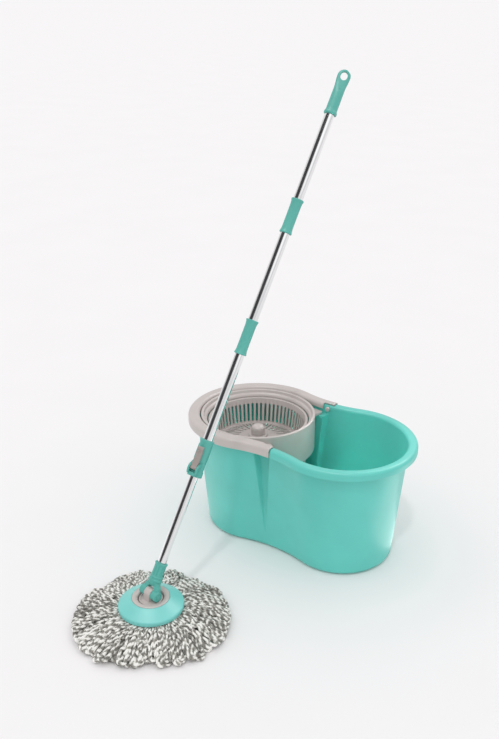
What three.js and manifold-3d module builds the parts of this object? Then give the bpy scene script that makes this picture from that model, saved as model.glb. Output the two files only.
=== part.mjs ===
// Spin mop set: a two-lobed bucket with a spin wringer and carry handle, and a
// telescopic mop whose twisted rod turns the round head when the pole is pushed.
// Units are millimetres, +Z is up. The origin is on the floor under the middle of
// the bucket, +X runs from the wringer lobe to the water lobe, +Y to the far side.
import * as THREE from 'three';
import { mergeVertices } from 'three/addons/utils/BufferGeometryUtils.js';
import Module from 'manifold-3d';

const wasm = await Module();
wasm.setup();

// ---------------------------------------------------------------- dimensions
const GAP = 0.3;                 // clearance kept between touching pieces

// bucket plan: two lobes joined by two hollow waist arcs, all sizes are offsets of it
const LOBE_X = 108;              // lobe centres at +-LOBE_X on the long axis
const RIM_R = 151;               // outer radius of the rim round a lobe
const WAIST_Y = 382;             // centres of the waist arcs
const WAIST_SUM = 397;           // waist arc radius plus lobe radius
const RIM_Z = 262;               // top of the rim
const RIM_SKIRT_Z = 245;         // lower edge of the rim's turned-down lip
const BASE_R = 111.2;            // outer wall radius just above the bottom corner
const WALL_TOP_R = 133.5;        // outer wall radius under the rim
const WALL = 3;                  // wall thickness
const NARROW_RIM_R = 147;        // rim radius under the carry handle

// V-shaped channels in the two long walls
const CHANNEL_X = -18;
const CHANNEL_TOP_Z = 238;
const CHANNEL_LOW_Z = 40;
const CHANNEL_W = 40;            // width at the top
const CHANNEL_W_LOW = 5;
const CHANNEL_DEPTH = 18;
const CHANNEL_FLANK = 5;

// carry handle
const PIVOT_X = 2, PIVOT_Z = 254; // handle hinge axis, along Y
const HANDLE_OUT_R = 152.4, HANDLE_IN_R = 127, HANDLE_TOP_Z = 265;
const HANDLE_END_X = 13;         // end of the outer part
const HANDLE_INNER_END_X = -10;  // end of the inner skirt
const NOTCH_R = 14.9;            // rim cut-out about the hinge axis
const PIN_R = 3.2;

// wringer
const WR_X = -LOBE_X;            // wringer axis
const COLLAR_R = 125, COLLAR_TOP_Z = 260.8, COLLAR_IN_R = 111.5;
const CRADLE_TOP_Z = 243.1;      // the cradle meets the collar's lower edge
const SHROUD_R = 125, SHROUD_LOW_Z = 181, SHROUD_HALF_DEG = 44;
const SPINDLE_R = 4;
const BASKET_RIM_R = 109.3, BASKET_TOP_Z = 246.5;
const SLOTS = 64, SLOT_W = 4.8, SLOT_Z0 = 191, SLOT_Z1 = 234;
const FLOOR_SLOTS = 64, FLOOR_SLOT_W = 3.2, FLOOR_R = 90;

// mop
const HEAD_X = -54, HEAD_Y = -427.5, HEAD_PIVOT_Z = 67;
const LEAN = THREE.MathUtils.degToRad(30.15);   // pole from the vertical
const LEAN_AZ = THREE.MathUtils.degToRad(8.8);  // lean direction, from +Y towards +X
const DISC_R = 62.3;
const STRANDS_R = 149;
const OUT_R = 9.3, OUT_BORE = 8.6;   // outer pole tubes
const IN_R = 8.3, IN_BORE = 7.6;     // inner pole tube
const TWIST_PER_MM = (2 * Math.PI) / 75; // twisted rod
const LOCK_TURN = THREE.MathUtils.degToRad(20);
const CAP_TURN = THREE.MathUtils.degToRad(40);   // the hanging eye's turn about the pole
const BARREL_UP = 8;                 // rise of the lock, twisted rod and nut along the pole

// ---------------------------------------------------------------- helpers
function clean(geometry) {
  let g = geometry.clone();
  g.deleteAttribute('normal');
  g.deleteAttribute('uv');
  if (g.attributes.color) g.deleteAttribute('color');
  g = mergeVertices(g, 1e-4);
  const p = g.attributes.position, idx = g.index.array, keep = [];
  let vol = 0;
  const a = new THREE.Vector3(), b = new THREE.Vector3(), c = new THREE.Vector3();
  for (let i = 0; i < idx.length; i += 3) {
    const [i0, i1, i2] = [idx[i], idx[i + 1], idx[i + 2]];
    if (i0 === i1 || i1 === i2 || i0 === i2) continue;
    keep.push(i0, i1, i2);
    a.fromBufferAttribute(p, i0); b.fromBufferAttribute(p, i1); c.fromBufferAttribute(p, i2);
    vol += a.dot(b.cross(c)) / 6;
  }
  if (vol < 0) for (let i = 0; i < keep.length; i += 3) [keep[i + 1], keep[i + 2]] = [keep[i + 2], keep[i + 1]];
  return { position: new Float32Array(p.array), index: new Uint32Array(keep) };
}
function solid(geometry) {
  const { position, index } = clean(geometry);
  return new wasm.Manifold(new wasm.Mesh({ numProp: 3, vertProperties: position, triVerts: index }));
}
function toGeometry(manifold) {
  const m = manifold.getMesh();
  const g = new THREE.BufferGeometry();
  const v = m.vertProperties, n = m.numProp, pos = new Float32Array((v.length / n) * 3);
  for (let i = 0, j = 0; i < v.length; i += n, j += 3) { pos[j] = v[i]; pos[j + 1] = v[i + 1]; pos[j + 2] = v[i + 2]; }
  g.setAttribute('position', new THREE.BufferAttribute(pos, 3));
  g.setIndex(new THREE.BufferAttribute(new Uint32Array(m.triVerts), 1));
  g.computeVertexNormals();
  return g;
}
// solid of revolution about Z from a closed [r, z] outline
function lathe(outline, segments = 48, closed = true) {
  const pts = outline.map(([r, z]) => new THREE.Vector2(r, z));
  if (closed) pts.push(pts[0].clone());
  return new THREE.LatheGeometry(pts, segments).rotateX(Math.PI / 2);
}
const cylZ = (r, z0, z1, seg = 24) => new THREE.CylinderGeometry(r, r, z1 - z0, seg).rotateX(Math.PI / 2).translate(0, 0, (z0 + z1) / 2);
const cylX = (r, x0, x1, seg = 24) => new THREE.CylinderGeometry(r, r, x1 - x0, seg).rotateZ(Math.PI / 2).translate((x0 + x1) / 2, 0, 0);
const cylY = (r, y0, y1, seg = 24) => new THREE.CylinderGeometry(r, r, y1 - y0, seg).translate(0, (y0 + y1) / 2, 0);
const box = (x0, x1, y0, y1, z0, z1) => new THREE.BoxGeometry(x1 - x0, y1 - y0, z1 - z0).translate((x0 + x1) / 2, (y0 + y1) / 2, (z0 + z1) / 2);
function prism(points, z0, z1) {
  const s = new THREE.Shape(points.map(([x, y]) => new THREE.Vector2(x, y)));
  return new THREE.ExtrudeGeometry(s, { depth: z1 - z0, bevelEnabled: false }).translate(0, 0, z0);
}
// prism of an [x, z] outline along Y
const prismY = (points, y0, y1) => prism(points.map(([x, z]) => [x, -z]), y0, y1).rotateX(-Math.PI / 2).translate(0, 0, 0);
// prism of a [y, z] outline along X
const prismX = (points, x0, x1) => prism(points, x0, x1).rotateX(Math.PI / 2).rotateZ(Math.PI / 2);
function arc(cx, cy, r, a0, a1, n) {
  const out = [];
  for (let i = 0; i <= n; i++) {
    const a = THREE.MathUtils.degToRad(a0 + ((a1 - a0) * i) / n);
    out.push([cx + r * Math.cos(a), cy + r * Math.sin(a)]);
  }
  return out;
}
// skin over a list of rings with the same number of points; caps fan to a point, or the skin closes on itself
function loft(rings, { capStart = null, capEnd = null, ringClosed = true, endCaps = false } = {}) {
  const n = rings[0].length, pos = [], idx = [];
  for (const r of rings) for (const p of r) pos.push(...p);
  const m = ringClosed ? n : n - 1;
  for (let i = 0; i + 1 < rings.length; i++)
    for (let j = 0; j < m; j++) {
      const a = i * n + j, b = i * n + ((j + 1) % n), c = a + n, d = b + n;
      idx.push(a, b, d, a, d, c);
    }
  const fan = (ringStart, centre, flip) => {
    const k = pos.length / 3;
    pos.push(...centre);
    for (let j = 0; j < n; j++) {
      const a = ringStart + j, b = ringStart + ((j + 1) % n);
      if (flip) idx.push(k, a, b); else idx.push(k, b, a);
    }
  };
  if (capStart) fan(0, capStart, false);
  if (capEnd) fan((rings.length - 1) * n, capEnd, true);
  if (endCaps) {
    const flat = endCaps.map(([x, y]) => new THREE.Vector2(x, y));
    for (const [a, b, c] of THREE.ShapeUtils.triangulateShape(flat, [])) {
      idx.push(a, c, b);
      const k = (rings.length - 1) * n;
      idx.push(k + a, k + b, k + c);
    }
  }
  const g = new THREE.BufferGeometry();
  g.setAttribute('position', new THREE.BufferAttribute(new Float32Array(pos), 3));
  g.setIndex(idx);
  return g;
}

// ---------------------------------------------------------------- bucket plan
const TANGENT = Math.acos(-LOBE_X / Math.hypot(LOBE_X, WAIST_Y)); // lobe arc half-angle
const TILT = Math.asin(LOBE_X / Math.hypot(LOBE_X, WAIST_Y));     // waist arc half-angle
const LOBE_SEGS = 16;
const lobePoint = (side, R, a) => [side * (LOBE_X + R * Math.cos(a)), R * Math.sin(a)];
const waistPoint = (side, R, x) => {
  const rw = WAIST_SUM - R;
  return [x, side * (WAIST_Y - Math.sqrt(rw * rw - x * x))];
};
// ring of plan points at offset radius R; half-width and depth describe the channels
function planRing(R, z, halfWidth = CHANNEL_W / 2, depth = 0) {
  const pts = [], rw = WAIST_SUM - R, xt = rw * Math.sin(TILT);
  const e1 = CHANNEL_X + halfWidth, e0 = CHANNEL_X - halfWidth, fl = Math.min(CHANNEL_FLANK, halfWidth * 0.45);
  const lerp = (a, b, t) => a + (b - a) * t;
  const xs = [lerp(xt, e1, 0.28), lerp(xt, e1, 0.55), lerp(xt, e1, 0.8), e1, e1 - fl, e0 + fl, e0, lerp(e0, -xt, 0.5)];
  const dz = [0, 0, 0, 0, depth, depth, 0, 0];
  for (let i = 0; i <= LOBE_SEGS; i++) pts.push([...lobePoint(1, R, -TANGENT + (2 * TANGENT * i) / LOBE_SEGS), z]);
  xs.forEach((x, i) => { const [px, py] = waistPoint(1, R, x); pts.push([px, py - dz[i], z]); });
  for (let i = 0; i <= LOBE_SEGS; i++) {
    const a = TANGENT - (2 * TANGENT * i) / LOBE_SEGS;
    pts.push([...lobePoint(-1, R, a), z]);
  }
  for (let i = xs.length - 1; i >= 0; i--) { const [px, py] = waistPoint(-1, R, xs[i]); pts.push([px, py + dz[i], z]); }
  return pts;
}
const planOutline = (R) => planRing(R, 0).map(([x, y]) => [x, y]);
const wallR = (z) => BASE_R + ((WALL_TOP_R - BASE_R) * (z - 14)) / (256 - 14);

function bucketShell() {
  const rings = [];
  const out = (R, z) => rings.push(planRing(R, z));
  const chan = (R, z, w, d) => rings.push(planRing(R, z, w / 2, d));
  out(98, 0); out(105.5, 2.4); out(109.8, 7.2);
  chan(BASE_R, 14, CHANNEL_W_LOW, 0);
  chan(wallR(CHANNEL_LOW_Z), CHANNEL_LOW_Z, CHANNEL_W_LOW, 0.01);
  chan(wallR(CHANNEL_TOP_Z), CHANNEL_TOP_Z, CHANNEL_W, CHANNEL_DEPTH);
  chan(wallR(CHANNEL_TOP_Z + 0.6), CHANNEL_TOP_Z + 0.6, CHANNEL_W, 0);
  for (const [R, z] of [[WALL_TOP_R, 256], [148.2, 256], [148.2, RIM_SKIRT_Z], [RIM_R, RIM_SKIRT_Z], [RIM_R, 255.5], [149, 260],
    [144.5, RIM_Z], [136, RIM_Z], [132.3, 260.4], [WALL_TOP_R - WALL, 256]]) out(R, z);
  const inner = (z) => wallR(z) - WALL;
  const wIn = (w) => w + 6;
  chan(inner(CHANNEL_TOP_Z + 3.6), CHANNEL_TOP_Z + 3.6, wIn(CHANNEL_W), 0);
  chan(inner(CHANNEL_TOP_Z + 3), CHANNEL_TOP_Z + 3, wIn(CHANNEL_W), CHANNEL_DEPTH);
  chan(inner(CHANNEL_LOW_Z), CHANNEL_LOW_Z, wIn(CHANNEL_W_LOW), 0.01);
  out(108.2, 14); out(105, 6.5); out(97, WALL);
  let shell = solid(loft(rings, { capStart: [37, 11, 0], capEnd: [37, 11, WALL] }));
  // narrower rim under the carry handle, and the notches its ends turn in
  const ring = solid(prism(planOutline(175), 235, 280)).subtract(solid(prism(planOutline(NARROW_RIM_R), 230, 285)));
  shell = shell.subtract(ring.intersect(solid(box(-300, PIVOT_X, -200, 200, 236, 279))));
  const bore = solid(cylY(NOTCH_R, -200, 200, 40).translate(PIVOT_X, 0, PIVOT_Z));
  shell = shell.subtract(bore.subtract(solid(prism(planOutline(134), 200, 300))));
  for (const s of [-1, 1]) {
    const y0 = s > 0 ? 117 : -130.6, y1 = s > 0 ? 130.6 : -117;
    shell = shell.add(solid(cylY(6.5, y0, y1).translate(PIVOT_X, 0, PIVOT_Z)));
  }
  shell = shell.subtract(solid(cylY(PIN_R + GAP, -200, 200).translate(PIVOT_X, 0, PIVOT_Z)));
  return toGeometry(shell);
}

// ---------------------------------------------------------------- carry handle
// path round the wringer lobe, from the near end to the far end
function handlePath(R) {
  const pts = [], rw = WAIST_SUM - R;
  const ts = [0.16, 0.03, -0.16, -0.4, -0.7];
  for (const t of ts) { const a = TILT * t; pts.push([rw * Math.sin(a), -(WAIST_Y - rw * Math.cos(a))]); }
  for (let i = 0; i <= LOBE_SEGS; i++) {
    const a = TANGENT - (2 * TANGENT * i) / LOBE_SEGS;
    const [x, y] = lobePoint(-1, R, a);
    pts.push([x, -y]);
  }
  for (const t of ts.slice().reverse()) { const a = TILT * t; pts.push([rw * Math.sin(a), WAIST_Y - rw * Math.cos(a)]); }
  return pts;
}
function carryHandle() {
  const section = [[149.7, 245.2], [HANDLE_OUT_R, 245.2], [HANDLE_OUT_R, 258.5], [150.6, 262.8], [145.5, HANDLE_TOP_Z],
    [133, HANDLE_TOP_Z], [128.6, 263.6], [HANDLE_IN_R, 260], [HANDLE_IN_R, 251.8], [129, 251.8], [129, 260], [131, 262.4], [147, 262.4], [149.7, 259]];
  const paths = section.map(([R]) => handlePath(R));
  const rings = paths[0].map((_, i) => section.map(([, z], k) => [paths[k][i][0], paths[k][i][1], z]));
  let body = solid(loft(rings, { endCaps: section }));
  // outer part ends with a rounded top corner; the inner skirt stops short of the hinge
  const cutEnd = solid(box(HANDLE_END_X, 100, -200, 200, 200, 300));
  body = body.subtract(cutEnd);
  const cornerR = 3;
  const corner = [[HANDLE_END_X - cornerR, HANDLE_TOP_Z + 2], ...arc(HANDLE_END_X - cornerR, HANDLE_TOP_Z - cornerR, cornerR, 90, 0, 6), [HANDLE_END_X + 2, HANDLE_TOP_Z - cornerR], [HANDLE_END_X + 2, HANDLE_TOP_Z + 2]];
  body = body.subtract(solid(prismY(corner, -200, 200)));
  body = body.subtract(solid(prism(planOutline(134.6), 200, 300)).intersect(solid(box(HANDLE_INNER_END_X, 60, -200, 200, 201, 299))));
  for (const s of [-1, 1]) {
    const y0 = s > 0 ? 131 : -135.4, y1 = s > 0 ? 135.4 : -131;
    body = body.add(solid(cylY(6.5, y0, y1).translate(PIVOT_X, 0, PIVOT_Z)));
    const h0 = s > 0 ? 130 : -135.7, h1 = s > 0 ? 135.7 : -130;
    body = body.subtract(solid(cylY(PIN_R + GAP, h0, h1).translate(PIVOT_X, 0, PIVOT_Z)));
  }
  return toGeometry(body);
}
// hinge pin with a knob on the inner side of the wall
function handlePin(side) {
  const prof = [[0, 108.6], [4, 108.6], [5.2, 109.8], [5.2, 114.1], [PIN_R, 114.1], [PIN_R, 135.3], [0, 135.3]];
  const g = lathe(prof, 20, false);           // along +Z
  g.rotateX(side > 0 ? -Math.PI / 2 : Math.PI / 2); // to +-Y
  return toGeometry(solid(g));
}

// ---------------------------------------------------------------- wringer
// collar that stands on the ledges of the long walls
function wringerFrame() {
  const t = COLLAR_TOP_Z;
  const collar = [[COLLAR_R, 244], [COLLAR_R, t - 2], [COLLAR_R - 1.6, t], [COLLAR_R - 4.4, t], [COLLAR_R - 6.2, t - 1.6], [117.6, 254.4], [113.2, 251.6],
    [COLLAR_IN_R, 248.4], [COLLAR_IN_R, 243.4], [113.9, 243.4], [113.9, 247.4], [115.2, 249.4], [119.8, 252.4], [121, t - 2.8], [122.8, t - 2.8], [122.8, 244]];
  let f = solid(lathe(collar, 40));
  for (const s of [-1, 1]) {
    const lug = [[72, s * 96], [94, s * 84], [99, s * 109], [68, s * 112]];
    f = f.add(solid(prism(s > 0 ? lug : lug.slice().reverse(), CHANNEL_TOP_Z + 4, 247)).subtract(solid(cylZ(COLLAR_R - 1, 200, 300, 40))).subtract(solid(cylZ(SHROUD_R + GAP, 200, 244, 40))));
  }
  return toGeometry(f);
}
// shroud wall on the water side, and a floor spider of hub and arms
function wringerCradle() {
  const top = CRADLE_TOP_Z;
  const wall = solid(lathe([[SHROUD_R, SHROUD_LOW_Z], [SHROUD_R, top], [SHROUD_R - 2.4, top], [SHROUD_R - 2.4, SHROUD_LOW_Z]], 40));
  const wedge = [[0, 0], ...arc(0, 0, 200, -SHROUD_HALF_DEG, SHROUD_HALF_DEG, 10)];
  let f = wall.intersect(solid(prism(wedge, 170, 262)));
  f = f.add(solid(lathe([[14, 168], [14, 182], [8, 182], [8, 168]], 24)));
  for (const deg of [-40, 0, 40, 120, 180, 240]) {
    const onShroud = Math.abs(deg) <= 40;
    const arm = onShroud
      ? [[10, 169], [114, 169], [123.4, SHROUD_LOW_Z - 6], [123.4, SHROUD_LOW_Z + 6], [120.5, SHROUD_LOW_Z + 2], [104, 177], [10, 181]]
      : [[10, 169], [108, 169], [117.6, 180], [121.9, top], [114.6, top], [110.6, 182], [104, 177], [10, 181]];
    f = f.add(solid(prismY(arm, -2, 2).rotateZ(THREE.MathUtils.degToRad(deg))));
  }
  f = f.subtract(solid(cylZ(SPINDLE_R + GAP, 150, 200, 24)));
  return toGeometry(f);
}
function basketSpindle() {
  return toGeometry(solid(lathe([[0, 164], [7, 164], [7, 167.6], [SPINDLE_R, 167.6], [SPINDLE_R, 211], [3, 213], [0, 213]], 24, false)));
}
function thrustWasher() {
  return toGeometry(solid(lathe([[SPINDLE_R + GAP, 182.3], [10, 182.3], [10, 183.7], [SPINDLE_R + GAP, 183.7]], 24)));
}
function spinBasket() {
  const wall = [[FLOOR_R + GAP, 184.8], [97.5, 184.8], [105, 240], [BASKET_RIM_R, 242], [BASKET_RIM_R, BASKET_TOP_Z], [103.6, BASKET_TOP_Z], [95.6, 188.6], [FLOOR_R + GAP, 188.6]];
  let b = solid(lathe(wall, SLOTS));
  const cuts = [];
  for (let i = 0; i < SLOTS; i++) {
    cuts.push(solid(box(93, 112, -SLOT_W / 2, SLOT_W / 2, SLOT_Z0, SLOT_Z1).rotateZ((Math.PI * (2 * i + 1)) / SLOTS)));
  }
  for (const c of cuts) b = b.subtract(c);
  return toGeometry(b);
}
// slotted floor that rises to the hub
function basketFloor() {
  const floor = [[7.3, 184], [13, 184], [15, 196], [30, 197], [FLOOR_R, 184.9], [FLOOR_R, 188.6], [30, 200.6], [21, 203.4], [20.4, 206.8], [19.4, 208], [12.6, 208], [12.6, 222], [7.3, 222]];
  let b = solid(lathe(floor, 32));
  const cuts = [];
  for (let i = 0; i < FLOOR_SLOTS; i++) {
    cuts.push(solid(box(i % 2 ? 66 : 44, 87, -FLOOR_SLOT_W / 2, FLOOR_SLOT_W / 2, 180, 202).rotateZ((2 * Math.PI * (i + 0.5)) / FLOOR_SLOTS)));
  }
  for (const c of cuts) b = b.subtract(c);
  return toGeometry(b);
}
function basketHubCap() {
  const prof = [[15.2, 208.3], [15.2, 221], [13.6, 226], [8, 228.8], [0, 229.3], [0, 226.4], [12.9, 222.6], [12.9, 208.3]];
  return toGeometry(solid(lathe(prof, 24, true)));
}
function basketBush() {
  return toGeometry(solid(lathe([[SPINDLE_R + 0.15, 185], [7, 185], [7, 208], [SPINDLE_R + 0.15, 208]], 24)));
}

// ---------------------------------------------------------------- pole pieces, in the pole's frame:
// Z runs up the pole from the head's hinge, X is the hinge axis
const tube = (ro, ri, z0, z1, seg = 20) => toGeometry(solid(lathe([[ri, z0], [ro, z0], [ro, z1], [ri, z1]], seg)));
function hangCap() {
  let c = solid(lathe([[OUT_R + GAP, 957], [12.2, 957], [12.6, 958.4], [12.4, 962], [11, 964], [11, 999], [10.4, 1010], [8, 1018], [0, 1020], [0, 1006], [OUT_R + GAP, 1006]], 28, true));
  const loop = [[-8.5, 999], [8.5, 999], [11, 1014], [12.6, 1026], ...arc(0, 1032.5, 12.6, 0, 180, 14), [-12.6, 1026], [-11, 1014]];
  c = c.add(solid(prismY(loop, -4.6, 4.6)).subtract(solid(cylZ(OUT_R + GAP, 940, 1006, 28))));
  const hole = [...arc(0, 1035, 6.5, 0, 180, 8), ...arc(0, 1030.5, 6.5, 180, 360, 8)];
  c = c.subtract(solid(prismY(hole, -10, 10)));
  return toGeometry(c);
}
function connector(z0, z1) {
  const prof = [[OUT_R + GAP, z0], [12, z0], [12.1, z0 + 1.8], [11, z0 + 6], [10.6, z0 + 14], [10.6, z1 - 14], [11, z1 - 6], [12.1, z1 - 1.8], [12, z1], [OUT_R + GAP, z1]];
  return toGeometry(solid(lathe(prof, 20)));
}
const plug = (z0, z1) => toGeometry(solid(lathe([[0, z0], [7.4, z0], [OUT_BORE - GAP, z0 + 1.5], [OUT_BORE - GAP, z1 - 1.5], [7.4, z1], [0, z1]], 20, false)));

// twisted flat rod
const ROD_Z0 = 296, ROD_Z1 = 497, ROD_W = 8, ROD_T = 2.6;
function strip(z0, z1, w, t, step) {
  const n = Math.max(1, Math.round((z1 - z0) / step)), rings = [];
  for (let i = 0; i <= n; i++) {
    const z = z0 + ((z1 - z0) * i) / n, a = z * TWIST_PER_MM, ca = Math.cos(a), sa = Math.sin(a);
    rings.push([[w / 2, t / 2], [-w / 2, t / 2], [-w / 2, -t / 2], [w / 2, -t / 2]].map(([x, y]) => [x * ca - y * sa, x * sa + y * ca, z]));
  }
  return loft(rings, { capStart: [0, 0, z0], capEnd: [0, 0, z1] });
}
const twistRod = () => toGeometry(solid(strip(ROD_Z0, ROD_Z1, ROD_W, ROD_T, 3.125)));
function rodAnchor() {
  const a = solid(lathe([[0, 483], [OUT_BORE - GAP, 483], [OUT_BORE - GAP, 500], [0, 500]], 20, false));
  return toGeometry(a.subtract(solid(strip(480, ROD_Z1 + 0.4, ROD_W + 0.9, ROD_T + 2.2, 3.125))));
}
function rodEndStop() {
  const a = solid(lathe([[0, 291.5], [5.4, 291.5], [6.2, 293], [6.2, 299.4], [0, 299.4]], 20, false));
  return toGeometry(a.subtract(solid(strip(ROD_Z0 - 0.4, 302, ROD_W + 0.9, ROD_T + 2.2, 3.125))));
}
function driveNut() {
  const a = solid(lathe([[0, 300], [IN_BORE - GAP, 300], [IN_BORE - GAP, 314], [IN_R, 314.2], [IN_R, 317], [0, 317]], 24, false));
  return toGeometry(a.subtract(solid(strip(298, 319, ROD_W + 1, ROD_T + 2.4, 2.1))));
}
function guideBush() {
  return toGeometry(solid(lathe([[5.6, 317.4], [OUT_BORE - 0.15, 317.4], [OUT_BORE - 0.15, 328], [7.8, 329], [5.6, 329]], 24)));
}
function lockCollar() {
  let c = solid(lathe([[IN_R + GAP, 226], [14.2, 226], [14.2, 236], [12.8, 238], [12.8, 292], [13.6, 294], [13.6, 298], [OUT_R + GAP, 298], [OUT_R + GAP, 231.4], [IN_R + GAP, 231.4]], 20));
  // cheeks for the lever pin, on the -Y side
  for (const s of [-1, 1]) {
    const cheek = [[-8, 228], [-20.5, 233], ...arc(-17.5, 243, 5.6, 230, 60, 8), [-8, 256]];
    const x0 = s > 0 ? 6.6 : -10.4, x1 = s > 0 ? 10.4 : -6.6;
    c = c.add(solid(prismX(cheek, x0, x1)));
  }
  c = c.add(solid(box(-8, 8, -19, -10, 226.5, 234)));
  c = c.subtract(solid(cylZ(OUT_R + GAP, 231.4, 310, 20)));
  c = c.subtract(solid(cylZ(IN_R + GAP, 200, 240, 20)));
  c = c.subtract(solid(box(-6.3, 6.3, -30, -13.4, 234.2, 262)));
  c = c.subtract(solid(cylX(2.1, -30, 30, 16).translate(0, -17.5, 243)));
  return toGeometry(c);
}
function lockLever() {
  const prof = [...arc(-17.5, 243, 4, 150, 330, 10), [-13.9, 247], [-14.2, 260], [-14.4, 275], [-15.6, 282.4], [-17.4, 284.6], [-19.6, 283.4], [-20, 279], [-19, 262], [-20, 252]];
  let l = solid(prismX(prof, -5.9, 5.9));
  l = l.subtract(solid(cylX(2.1, -30, 30, 16).translate(0, -17.5, 243)));
  return toGeometry(l);
}
const leverPin = () => toGeometry(solid(cylX(1.8, -10.8, 10.8, 16).translate(0, -17.5, 243)));

// yoke: ribbed socket for the inner tube, crown and two round ears
function yoke() {
  const prof = [[0, 20], [9, 20], [11.8, 23.5], [12.9, 25], [12.9, 28.6], [11.6, 30], [11.2, 33], [11.2, 56], [12, 58], [12, 60], [0, 60]];
  let y = solid(lathe(prof, 12, false));
  const crown = [[-18, 0], [-18.5, 8], [-16.5, 15], [-12.4, 21], [-10.6, 26], [10.6, 26], [12.4, 21], [16.5, 15], [18.5, 8], [18, 0]];
  y = y.add(solid(prismY(crown, -7.2, 7.2)));
  for (const s of [-1, 1]) {
    const x0 = s > 0 ? 8.8 : -22, x1 = s > 0 ? 22 : -8.8, r = 9.8;
    const e = lathe([[0, x0], [s > 0 ? r : r - 2, x0], [r, s > 0 ? x0 + 0.01 : x0 + 2], [r, s > 0 ? x1 - 2 : x1 - 0.01], [s > 0 ? r - 2 : r, x1], [0, x1]], 24, false).rotateY(Math.PI / 2);
    y = y.add(solid(e));
  }
  const slot = [[-8.6, -20], [8.6, -20], [8.6, 10.6], ...arc(0, 0, 8.6, 12, 168, 10).map(([x, z]) => [x, 10.6 + z * 0.4]), [-8.6, 10.6]];
  y = y.subtract(solid(prismY(slot, -20, 20)));
  y = y.subtract(solid(cylZ(IN_R + GAP, 30, 70, 24)));
  y = y.subtract(solid(cylX(3.3, -30, 19.4, 20)));
  return toGeometry(y);
}
const yokePin = () => toGeometry(solid(cylX(3, -20.8, 19.1, 20)));

// ---------------------------------------------------------------- head pieces, in the head's frame:
// Z is up through the hinge, heights are above the floor
function headLug() {
  let l = solid(lathe([[0, 44.6], [27, 44.6], [27, 49.4], [23.4, 49.8], [23.4, 54], [0, 55.6]], 28, false));
  const outline = [[-13.5, 50], ...arc(0, HEAD_PIVOT_Z, 10.2, 190, -10, 16), [13.5, 50]];
  l = l.add(solid(prismX(outline, -8, 8)));
  l = l.subtract(solid(cylX(3.3, -30, 30, 20).translate(0, 0, HEAD_PIVOT_Z)));
  return toGeometry(l);
}
function mopDisc() {
  const prof = [[36.2, 55.2], [59.6, 42.2], [59.6, 37.2], [61.2, 36.4], [DISC_R, 37], [DISC_R, 43.6], [61.4, 45], [37.4, 58.2], [36.2, 58.2]];
  let d = solid(lathe(prof, 32));
  return toGeometry(d);
}
function discRing() {
  const prof = [[24.2, 50], [40, 50], [40, 52.4], [35.8, 54.6], [35.8, 58.4], [34.4, 59.4], [29.4, 59.2], [26.4, 57.4], [24.2, 54]];
  return toGeometry(solid(lathe(prof, 28)));
}
function retainingPlate() {
  let p = solid(lathe([[9, 41], [44, 41], [44, 44.2], [9, 44.2]], 28));
  for (const deg of [90, 210, 330]) p = p.subtract(solid(cylZ(1.9, 30, 60, 12).translate(36, 0, 0).rotateZ(THREE.MathUtils.degToRad(deg))));
  return toGeometry(p);
}
function retainerScrew(deg) {
  const s = lathe([[0, 38.6], [3.2, 38.6], [3.2, 40.7], [1.6, 40.7], [1.6, 49.4], [0, 49.4]], 12, false);
  return toGeometry(solid(s.translate(36, 0, 0).rotateZ(THREE.MathUtils.degToRad(deg))));
}
function refillRing() {
  return toGeometry(solid(lathe([[46, 24], [58.6, 24], [58.6, 40.6], [56.4, 41.6], [46, 41.6]], 32)));
}
function strands() {
  const prof = [[24, 0], [136, 0], [146, 4], [STRANDS_R, 11], [145, 20], [125, 29.5], [95, 34.6], [70, 36], [59.4, 36], [59.4, 23.7], [24, 23.7]];
  return toGeometry(solid(lathe(prof, 28)));
}

// ---------------------------------------------------------------- materials
const finish = {
  teal: [0x63c7b8, 0.38, 0], grey: [0xbeb6b1, 0.42, 0], chrome: [0xd9dadb, 0.14, 1],
  steel: [0xb9bcc0, 0.3, 1], white: [0xe9e8e2, 0.5, 0], yarn: [0xc9c7bf, 0.95, 0],
};
function mesh(name, geometry, kind, parent) {
  const [color, roughness, metalness] = finish[kind];
  const m = new THREE.Mesh(geometry, new THREE.MeshStandardMaterial({ color, roughness, metalness }));
  m.name = name;
  parent.add(m);
  return m;
}

// ---------------------------------------------------------------- assembly
const root = new THREE.Group();
mesh('bucket_shell', bucketShell(), 'teal', root);

const handle = new THREE.Group();
root.add(handle);
mesh('carry_handle', carryHandle(), 'grey', handle);
for (const [name, side] of [['handle_pin_near', -1], ['handle_pin_far', 1]]) {
  mesh(name, handlePin(side), 'grey', handle).position.set(PIVOT_X, 0, PIVOT_Z);
}

const wringer = new THREE.Group();
wringer.position.set(WR_X, 0, 0);
root.add(wringer);
mesh('wringer_frame', wringerFrame(), 'grey', wringer);
mesh('wringer_cradle', wringerCradle(), 'grey', wringer);
mesh('basket_spindle', basketSpindle(), 'steel', wringer);
mesh('thrust_washer', thrustWasher(), 'white', wringer);
mesh('spin_basket', spinBasket(), 'grey', wringer);
mesh('basket_floor', basketFloor(), 'grey', wringer);
mesh('basket_hub_cap', basketHubCap(), 'grey', wringer);
mesh('basket_bush', basketBush(), 'white', wringer);

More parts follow.
